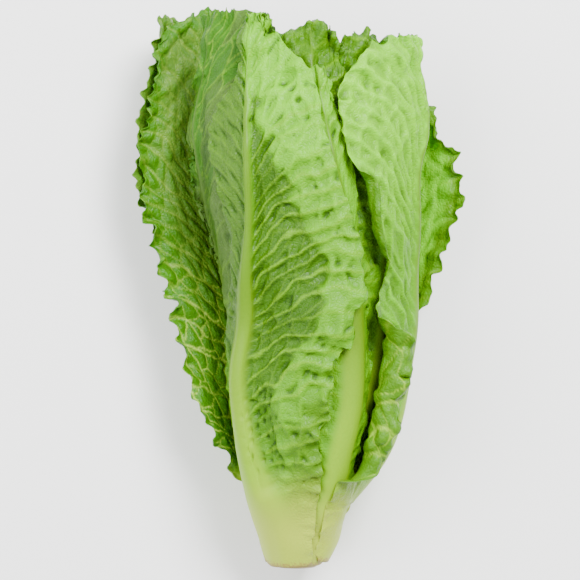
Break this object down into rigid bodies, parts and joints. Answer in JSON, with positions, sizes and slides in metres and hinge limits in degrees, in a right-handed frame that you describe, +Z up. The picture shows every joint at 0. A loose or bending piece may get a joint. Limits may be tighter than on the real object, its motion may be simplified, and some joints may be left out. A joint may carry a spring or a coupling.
{
  "type": "head of lettuce",
  "caption": "Whole head of cos lettuce lying on its back, leaves wrapped round a short cut stem, for produce and kitchen scenes.",
  "frame": {"origin": "on the ground under the middle of the head's box, as it lies on its back", "axes": "+Y from the cut butt to the leaf tips; +Z up, out of the front wrapper leaf; +X to the right seen from above with the tips up"},
  "size_m": [0.1636, 0.2829, 0.1038],
  "materials": {
    "stem_flesh": "matte, moist cut flesh, pale cream with a thin brown rim",
    "heart_leaf": "satin, pale yellow-green",
    "inner_leaf": "satin, crinkled, light green with pale veins",
    "wrapper_leaf": "satin, quilted, light green with a yellow-green rib that turns cream near the butt",
    "outer_leaf": "satin, quilted, saturated green with pale net veins"
  },
  "bodies": {
    "root": {"core_stem": "stem_flesh", "heart_leaf_1": "heart_leaf", "heart_leaf_2": "heart_leaf", "heart_leaf_3": "heart_leaf", "heart_leaf_4": "heart_leaf", "heart_leaf_5": "heart_leaf", "inner_back_leaf": "inner_leaf", "inner_right_leaf": "inner_leaf", "inner_front_leaf": "inner_leaf", "back_leaf": "inner_leaf", "left_inner_leaf": "wrapper_leaf", "front_right_leaf": "wrapper_leaf", "right_leaf": "wrapper_leaf", "front_wrapper_leaf": "wrapper_leaf", "right_back_leaf": "outer_leaf", "left_outer_leaf": "outer_leaf", "top_left_back_leaf": "outer_leaf"}
  },
  "joints": []
}
